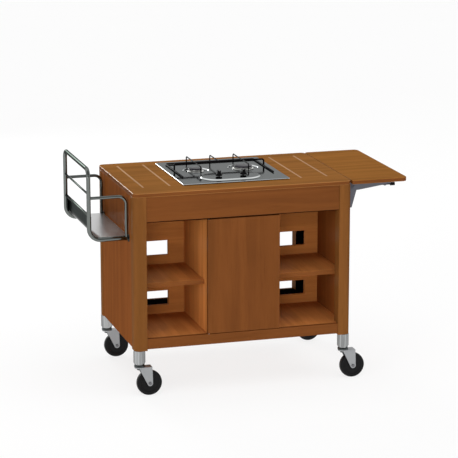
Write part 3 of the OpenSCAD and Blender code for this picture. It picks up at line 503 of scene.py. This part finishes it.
def tubes(name, runs, body, slot, finish, nodes):
    """Round bars along paths, given as (path, radius), as one piece."""
    meshes = []
    for path, radius in runs:
        curve = bpy.data.curves.new(name, "CURVE")
        curve.dimensions = "3D"
        curve.bevel_depth = radius
        curve.bevel_resolution = 5
        curve.use_fill_caps = True
        spline = curve.splines.new("POLY")
        points = blunt(path, radius)
        spline.points.add(len(points) - 1)
        for point, (place, width) in zip(spline.points, points):
            point.co = (*place, 1)
            point.radius = width
        holder = bpy.data.objects.new("holder", curve)
        meshes.append(bpy.data.meshes.new_from_object(holder))
        bpy.data.objects.remove(holder)
    as_piece(name, joined(meshes), body, slot, finish, nodes, smooth=50)


def wooden_cabinet():
    """Boards and legs with paler edges (wear and painted highlight), niche boards painted light,
    a painted shade line under the aprons, the inlay, and rear bays lined black as painted shade.
    """
    board = {"width": 1.2 * MM, "rounds": 3}
    # The aprons' lower edges get a chamfer that takes the painted shade line
    apron = {**board, "under": 4 * MM}
    top = {"width": 2 * MM, "rounds": 4, "cut_outs": False}
    legs = tuple(f"leg_{corner}" for corner in CORNERS)
    rows = (
        (("worktop",), ("top_x", "polished_edge", "lipping"), top),
        (("front_apron", "rear_apron"), ("front_x", "front_edge", "stained_edge"), apron),
        (("front_rail", "rear_rail"), ("front_x", "front_edge"), board),
        # Boards inside the niches take the veneers painted lighter: painted light
        (("bottom_panel",), ("inner_y", "inner_edge"), board),
        (("shelf_left", "shelf_right"), ("inner_y", "inner_edge", "shelf_lipping"), board),
        (("divider_left", "divider_right"), ("inner_z", "inner_edge"), board),
        (("partition_left", "partition_right"), ("inner_x", "inner_edge"), board),
        (("side_left", "side_right"), ("side_z", "side_edge"), board),
        (("back_panel", "door"), ("front_z", "front_edge"), board),
        (("leaf",), ("leaf_x", "leaf_x", "lipping"), top),
        (legs, ("leg_z", "leg_edge"), board),
        (("inlay_strips",), ("inlay",), {"width": 0.3 * MM}),
        # The rear bays lined near black: painted shade
        (("bay_liners",), ("laminate",), {"width": 0.2 * MM}),
    )
    for nodes, finishes, edges in rows:
        for node in nodes:
            eased(node, *finishes, **edges)


def ease_in(value):
    """0 up to a value of 0, 1 from a value of 1, and a smooth rise between."""
    value = max(0.0, min(1.0, value))
    return value * value * (3 - 2 * value)


def pressed_hob():
    """The steel hob: a rolled rim, two round wells and a raised panel, pressed in one sheet."""
    low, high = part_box("hob_plate")
    half = Vector(((high.x - low.x) / 2, (high.y - low.y) / 2))
    middle = Vector(((high.x + low.x) / 2, (high.y + low.y) / 2))
    burner_y = BURNER_Y - middle.y
    sheet = 0.8 * MM
    # The height over the worktop, the depth of the wells and the rise of the panel
    rise, depth, panel_rise = 5 * MM, 5 * MM, 5 * MM
    # The radius of the corners, the width of the rolled rim and how far it is rolled
    corner, roll, roll_share = 8 * MM, 3.5 * MM, 0.85
    # The panel's half width, the radius of its ends and their place
    panel_half, panel_r, panel_y = 123 * MM, 68 * MM, 94 * MM - half.y
    # The width of a pressed slope, and the share of its reach by which the seal is set in
    slope, seal_in = 9 * MM, 0.012
    # Steps across the sheet, steps on its rim, and how level a face is that stays coarse
    even_steps, rim_steps, level = 110, (0.25, 0.45, 0.62, 0.76, 0.88, 1), 0.99

    def stations(reach):
        """Places across the sheet, close together on the rolled rim."""
        inner = reach - roll
        rim = [inner + roll * share for share in rim_steps]
        even = [inner * (2 * i / even_steps - 1) for i in range(even_steps + 1)]
        return [-place for place in reversed(rim)] + even + rim

    def height(x, y):
        """How high the sheet is over the worktop."""
        inset = min(half.x - abs(x), half.y - abs(y))
        beyond = Vector((abs(x) - half.x + corner, abs(y) - half.y + corner))
        if beyond.x > 0 and beyond.y > 0:
            inset = corner - beyond.length
        z = rise
        if inset < roll:
            z = rise - roll + math.sqrt(roll ** 2 - (roll_share * (roll - inset)) ** 2)
        for place, ring_r in BURNERS:
            from_burner = math.hypot(x - place, y - burner_y)
            z -= depth * ease_in((ring_r + WELL_STEP - from_burner) / slope)
        from_panel = math.hypot(max(0, abs(x) - panel_half + panel_r), y - panel_y)
        return z + panel_rise * ease_in((panel_r - from_panel) / slope)

    def off_rim(face):
        """Whether a face lies wholly inside the rolled rim."""
        spots = [vert.co.xy - middle for vert in face.verts]
        return (max(abs(spot.x) for spot in spots) < half.x - roll
                and max(abs(spot.y) for spot in spots) < half.y - roll)

    form = bmesh.new()
    grid = []
    for y in stations(half.y):
        line = []
        for x in stations(half.x):
            spot = Vector((x, y))
            centre = Vector((math.copysign(half.x - corner, x),
                             math.copysign(half.y - corner, y)))
            out = spot - centre
            if out.x * centre.x > 0 and out.y * centre.y > 0:
                spot = centre + out * max(abs(out.x), abs(out.y)) / out.length
            line.append(form.verts.new((*(middle + spot), TOP_Z + height(*spot))))
        grid.append(line)
    for near, far in zip(grid, grid[1:]):
        for i in range(len(near) - 1):
            form.faces.new([near[i], near[i + 1], far[i + 1], far[i]])

    # Finer faces where the sheet slopes
    form.normal_update()
    steep = [edge for face in form.faces for edge in face.edges
             if face.normal.z < level and off_rim(face)]
    steep = list(dict.fromkeys(steep))
    bmesh.ops.subdivide_edges(form, edges=steep, cuts=2, use_grid_fill=True)
    for vert in form.verts:
        vert.co.z = TOP_Z + height(*(vert.co.xy - middle))

    # The cut edge of the sheet, and the seal between the hob and the worktop
    for drop, inward, finish in ((sheet, 0, MAIN), (0, seal_in, EDGE), (rise, 0, EDGE)):
        rim = [edge for edge in form.edges if edge.is_boundary]
        for item in bmesh.ops.extrude_edge_only(form, edges=rim)["geom"]:
            if isinstance(item, bmesh.types.BMVert):
                place = middle + (item.co.xy - middle) * (1 - inward)
                item.co = (*place, max(TOP_Z, item.co.z - drop))
            elif isinstance(item, bmesh.types.BMFace):
                item.material_index = finish
    bmesh.ops.remove_doubles(form, verts=form.verts, dist=SHORTEST)
    bmesh.ops.recalc_face_normals(form, faces=form.faces)
    piece = as_piece("pressed_hob", as_mesh(form, "pressed"), "cart", "hob_steel",
                     ("hob", "seal"), ["hob_plate"], smooth=60)
    thick = piece.modifiers.new("sheet", "SOLIDIFY")
    thick.thickness = sheet
    thick.offset = -1


def burners():
    """Slotted flame rings, stepped and dished, under enamelled caps."""
    foot, top = caps_low.z, caps_high.z
    # The floor of the well, the cup that reaches through it, and the lip of its flange
    floor = foot - 10 * MM
    flange, wall, lip = 13 * MM, 3 * MM, 0.8 * MM
    cup_low, cup_floor = floor - 20 * MM, floor - 18 * MM
    # The boss that takes the gas: its radius, length and edge, and where it leaves the cup
    boss_r, boss_long, boss_edge = 6 * MM, 9 * MM, 0.5 * MM
    boss_z, boss_sunk = floor - 10 * MM, 1 * MM
    # The teeth between the slots, and how far in from the cap's rim their middle is
    tooth, tooth_edge, tooth_in, tooth_z = (5 * MM, 3.4 * MM, 6 * MM), 0.5 * MM, 2.6 * MM, 7 * MM
    cap_rim = 1.2 * MM
    ring_parts, cap_parts = [], []
    for x, ring_r in BURNERS:
        place = Vector((CART_X + x, BURNER_Y, 0))
        cap_r = ring_r - CAP_STEP
        cup_r = ring_r - flange
        # The cup, from under it up and out to the flange, in over the step and down inside
        cup = [(0, cup_low), (cup_r, cup_low), (cup_r, floor), (ring_r - lip, floor),
               (ring_r, floor + lip), (ring_r, floor + 2.4 * MM),
               (ring_r - 2.6 * MM, floor + 4 * MM), (cap_r - 2 * MM, floor + 4.4 * MM),
               (cap_r - 3.5 * MM, foot), (cup_r - wall, foot), (cup_r - wall, cup_floor),
               (0, cup_floor)]
        ring_parts.append(moved(turned(cup), place))
        boss = [(0, 0), (boss_r, 0), (boss_r, boss_long - boss_edge),
                (boss_r - boss_edge, boss_long), (0, boss_long)]
        inlet = place + Vector((0, boss_sunk - cup_r, boss_z))
        forward = Matrix.Rotation(math.radians(90), 4, "X")
        ring_parts.append(moved(turned(boss, sides=32), inlet, forward))
        teeth = round(cap_r / MM)
        for i in range(teeth):
            turn = Matrix.Rotation(2 * math.pi * i / teeth, 4, "Z")
            spot = turn @ Vector((cap_r - tooth_in, 0, floor + tooth_z))
            ring_parts.append(moved(bevelled_block(tooth, tooth_edge), place + spot, turn))
        # The cap, from the middle of its underside round the rim and over the two steps
        rim_r = cap_r - cap_rim
        cap = [(0, foot), (rim_r, foot), *arc((rim_r, foot + cap_rim), cap_rim, -90, 60, 5),
               (cap_r - 5 * MM, top - 0.9 * MM), (cap_r - 7 * MM, top - 0.3 * MM),
               (cap_r * 0.5, top), (0, top)]
        cap_parts.append(moved(turned(cap), place))
    as_piece("burner_flame_rings", joined(ring_parts), "cart", "burner_alloy", "ring",
             ["burner_rings"])
    as_piece("burner_cap_discs", joined(cap_parts), "cart", "burner_cap", "cap",
             ["burner_caps"])


def wire_grate():
    """The pan grate, bent and welded from wire: a frame, a raised bar and three fingers."""
    low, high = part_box("pan_grate")
    frame_r, cross_r, finger_r = 3 * MM, 3.5 * MM, 2.5 * MM
    bend, toe_reach = 8 * MM, 78 * MM
    left, right = low.x + cross_r, high.x - cross_r
    front, back = low.y, high.y - frame_r
    frame_z, top = low.z + frame_r, high.z - cross_r
    toe = BURNER_Y - toe_reach
    outline = [(left, front, frame_z), (left, back, frame_z), (right, back, frame_z),
               (right, front, frame_z)]
    cross_bar = [(left, BURNER_Y, frame_z), (left, BURNER_Y, top), (right, BURNER_Y, top),
                 (right, BURNER_Y, frame_z)]
    short_finger = [(CART_X, back, frame_z), (CART_X, back, top), (CART_X, BURNER_Y, top)]
    runs = [(bent(outline, bend), frame_r), (bent(cross_bar, bend), cross_r),
            (bent(short_finger, bend), finger_r)]
    for from_middle, _ in BURNERS:
        x = from_middle + CART_X
        finger = [(x, back, frame_z), (x, back, top), (x, toe, top), (x, toe, low.z)]
        runs.append((bent(finger, bend), finger_r))
    tubes("wire_grate", runs, "grate", "grate_wire", "wire", ["pan_grate"])


def knobs():
    """The two knobs, each with a white pointer let into its face."""
    mark_size, mark_edge = (1.2 * MM, 8 * MM, 0.3 * MM), 0.1 * MM
    forward, sunk = 5 * MM, 0.1 * MM
    for side in ("left", "right"):
        node = f"knob_{side}"
        eased(node, "plastic", width=0.9 * MM, rounds=3)
        low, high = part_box(node)
        mark = bevelled_block(mark_size, mark_edge)
        place = Vector(((low.x + high.x) / 2, (low.y + high.y) / 2 - forward, high.z - sunk))
        as_piece(f"pointer_{side}", moved(mark, place), f"dial_{side}", "black_plastic", "mark")


def bottle_rack():
    """The chromed tube frame and its rails, their chrome darkened as painted reflection, with the
    tray: its floor painted bright and its walls painted dark, painted reflections.
    """
    low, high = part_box("rack_frame")
    main, loop_r, thin_r = 8 * MM, 6 * MM, 4 * MM
    bottom_bend, top_bend, loop_bend = 45 * MM, 30 * MM, 30 * MM
    bend_steps, loop_gap = 12, 2 * MM
    out_x, wall_x = low.x + main, high.x
    bottom, top, side = low.z + main, high.z - main, high.y - main
    # Places of the side loops, the thin rail and the lower rail
    loop_x, low_x = LEFT_X - loop_gap - loop_r, out_x + main - loop_r
    loop_z, thin_z, low_z = TOP_Z - 25 * MM, TOP_Z - 10 * MM, TOP_Z - 97 * MM

    path = [(wall_x, -side, bottom), (out_x, -side, bottom), (out_x, -side, top),
            (out_x, side, top), (out_x, side, bottom), (wall_x, side, bottom)]
    corners = [Vector(p) for p in path]
    run = [corners[0]]
    for i, bend in enumerate((bottom_bend, top_bend, top_bend, bottom_bend)):
        run += bent(corners[i:i + 3], bend, bend_steps)[1:-1]
    run.append(corners[-1])
    tubes("rack_tube", [(run, main)], "cart", "rack_chrome", "rack", ["rack_frame"])

    rails = [([(out_x, -side, thin_z), (out_x, side, thin_z)], thin_r),
             ([(low_x, -side, low_z), (low_x, side, low_z)], loop_r)]
    for y in (-side, side):
        loop = [(out_x, y, loop_z), (loop_x, y, loop_z), (loop_x, y, bottom)]
        rails.append((bent(loop, loop_bend, bend_steps), loop_r))
    tubes("rack_loops_and_rails", rails, "cart", "rack_chrome", "rack", ["rack_rails"])
    # The tray's floor painted bright and its walls painted dark: painted reflections
    eased("rack_tray", "tray", "tray_walls_dark", "tray_walls_dark", width=0.4 * MM)
    eased("rack_rosettes", "rack", width=0.8 * MM)


def screw_head(place, axis):
    """A domed screw head, standing out along an axis."""
    radius, edge, foot = 4.2 * MM, 1 * MM, -0.2 * MM
    dome = radius * 0.55
    profile = [(0, dome), *arc((radius - edge, 0), edge, 80, 0, 4), (radius, foot), (0, foot)]
    turn = Vector((0, 0, 1)).rotation_difference(Vector(axis)).to_matrix().to_4x4()
    return moved(turned(profile, sides=24), Vector(place), turn)


def folding_brackets():
    """The leaf's two brackets with their release bars and the screws in the legs."""
    for node in ("wall_brackets", "leaf_arms"):
        eased(node, "bracket", width=0.5 * MM)
    for end in ("front", "rear"):
        eased(f"latch_{end}", "plastic", width=0.8 * MM)
    low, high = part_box("wall_brackets")
    plate, from_edge = 3.2 * MM, 15 * MM
    heights = (low.z + 14 * MM, (low.z + high.z) / 2, high.z - 16 * MM)
    heads = [screw_head((low.x + plate, side * (high.y - from_edge), z), (1, 0, 0))
             for side in (-1, 1) for z in heights]
    as_piece("bracket_screws", joined(heads), "cart", "zinc", "zinc")


def wheel_section(radius, half, hub_half):
    """A wheel's closed section: from the bore out to the tread on one side, and back."""
    hub_r, bore, edge = 14 * MM, 4.05 * MM, 1.5 * MM
    web = half - 3 * MM
    shoulder, shoulder_in = 6 * MM, 6.5 * MM
    # Over the hub, down to the web and up the side of the tyre, in shares of the wheel's radius
    side = [(bore, hub_half), (hub_r - edge, hub_half), (hub_r, hub_half - edge),
            (hub_r + 1 * MM, web), (radius * 0.66, web), (radius * 0.7, half - 1 * MM),
            (radius * 0.74, half), (radius * 0.8, half), (radius * 0.82, half - 0.8 * MM),
            (radius * 0.84, half - 0.3 * MM)]
    side += arc((radius - shoulder_in, half - shoulder_in), shoulder, 80, 15)
    side.append((radius, half * 0.25))
    return [*side, *[(r, -h) for r, h in reversed(side)], side[0]]


def casters():
    """The leg sockets, and the four casters with turned wheels."""
    hub_stands_out = 2 * MM
    eased("caster_sockets", "socket", width=0.8 * MM, rounds=3)
    eased("caster_races", "race", width=0.5 * MM)
    sideways = Matrix.Rotation(math.radians(90), 4, "X")
    for corner in CORNERS:
        low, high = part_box(f"wheel_{corner}")
        radius, hub_half = (high.z - low.z) / 2, (high.y - low.y) / 2
        section = wheel_section(radius, hub_half - hub_stands_out, hub_half)
        wheel = moved(turned(section, sides=96), (low + high) / 2, sideways)
        as_piece(f"wheel_{corner}_turned", wheel, f"roller_{corner}", "wheel_rubber", "tyre",
                 [f"wheel_{corner}"], smooth=40)
        eased(f"fork_{corner}", "fork", width=0.7 * MM)
        eased(f"axle_{corner}", "bolt", width=0.5 * MM)


def plain_nodes():
    """CAD nodes whose shape is right, which only take a finish."""
    finishes = {"hob_casing": "zinc", "gas_valves": "brass", "gas_pipes": "brass",
                "gas_inlet": "brass", "hob_clamps": "zinc", "carcass_fittings": "zinc",
                "door_fittings": "zinc", "spindle_left": "bolt", "spindle_right": "bolt"}
    for node, finish in finishes.items():
        mesh = frame["nodes"][node].data
        mesh.materials.clear()
        mesh.materials.append(FINISHES[finish])


def seen(finish):
    """1 for what the camera sees straight, and 1 for what it sees in metal or through glass."""
    path = finish.node("ShaderNodeLightPath")
    return path["Is Camera Ray"], path["Is Glossy Ray"] | path["Is Transmission Ray"]


def white_surround():
    """The world: white to the camera, and in metal dimmer behind the camera than beyond."""
    lit, behind = 0.2, 0.3
    world = Finish(bpy.data.worlds.new("studio"))
    bpy.context.scene.world = world.owner
    back = world.tree.nodes["Background"].inputs
    back["Color"].default_value = (1, 1, 1, 1)
    direct, mirrored = seen(world)
    direction = world.node("ShaderNodeTexCoord")["Generated"]
    depth = world.node("ShaderNodeSeparateXYZ", sockets={"Vector": direction})["Y"]
    room = behind + world.steps(depth, low=-0.35, high=0.25) * (1 - behind)
    world.feed(back["Strength"], direct * (1 - lit) + mirrored * (room - lit) + lit)


def white_floor():
    """A plain paper floor, which shows white but keeps the cart's shadow."""
    reach, glow_share, shade = 60, 0.8, 0.95
    mesh = bpy.data.meshes.new("floor")
    corners = [(-reach, -reach, 0), (reach, -reach, 0), (reach, reach, 0), (-reach, reach, 0)]
    mesh.from_pydata(corners, [], [(0, 1, 2, 3)])
    floor = bpy.data.objects.new("studio_floor", mesh)
    bpy.context.collection.objects.link(floor)
    paper = Finish(bpy.data.materials.new("floor_paper"), Roughness=0.9)
    paper.set("Base Color", opaque((shade, shade, shade)))
    paper.set("Specular IOR Level", 0.0)
    glow = paper.node("ShaderNodeEmission", sockets={"Color": (1, 1, 1, 1), "Strength": 1.0})
    direct, mirrored = seen(paper)
    surface = paper.node("ShaderNodeMixShader", sockets={
        0: (direct | mirrored) * glow_share,
        1: Value(paper, paper.shader.outputs["BSDF"]),
        2: glow["Emission"]})
    paper.feed(paper.tree.nodes["Material Output"].inputs["Surface"], surface["Shader"])
    mesh.materials.append(paper.owner)


def point_at(holder, direction):
    holder.rotation_euler = Vector(direction).to_track_quat("-Z", "Y").to_euler()
    bpy.context.collection.objects.link(holder)


def lamps():
    """Three wide even lights, and three soft boxes that the metal mirrors."""
    # Name, direction that the light comes from, strength, and width in degrees
    distant = (("front", (-0.28, -0.93, 0.11), 1.15, 24),
               ("front_left", (-0.76, -0.63, 0.17), 0.75, 24),
               ("overhead", (0.1, -0.2, 1), 2.0, 80))
    for name, source, strength, width in distant:
        light = bpy.data.lights.new(name, "SUN")
        light.energy = strength
        light.angle = math.radians(width)
        holder = bpy.data.objects.new(name, light)
        holder.visible_glossy = False
        point_at(holder, -Vector(source))

    # Name, place, target, width and height in metres, and power in watts
    near = (("left_strip", (-3.0, -3.4, 1.5), (-0.1, 0, 0.5), (0.4, 2.2), 13),
            ("right_strip", (3.2, -2.6, 1.5), (0.1, 0, 0.5), (0.3, 2.2), 7),
            ("back_left", (-1.15, 4.5, 2.0), (-0.1, 0, 0.75), (1.5, 1.3), 70))
    for name, place, target, size, power in near:
        light = bpy.data.lights.new(name, "AREA")
        light.shape = "RECTANGLE"
        light.size, light.size_y = size
        light.energy = power
        holder = bpy.data.objects.new(name, light)
        holder.location = place
        point_at(holder, Vector(target) - Vector(place))


def camera():
    """A long lens at the photograph's angle, fitted to the worktop, legs, rack and wheels."""
    azimuth, elevation = math.radians(-16.635), math.radians(13.345)
    place = (CART_X - 2.342, -7.924, 2.532)
    lens = bpy.data.cameras.new("camera")
    lens.lens = 167.7
    lens.sensor_width = 36
    lens.clip_end = 200
    holder = bpy.data.objects.new("camera", lens)
    holder.location = place
    holder.rotation_euler = (math.pi / 2 - elevation, 0, azimuth)
    bpy.context.collection.objects.link(holder)
    bpy.context.scene.camera = holder


bpy.context.scene.view_settings.view_transform = "Standard"
camera()
white_surround()
white_floor()
lamps()
wooden_cabinet()
pressed_hob()
burners()
wire_grate()
knobs()
bottle_rack()
folding_brackets()
casters()
plain_nodes()
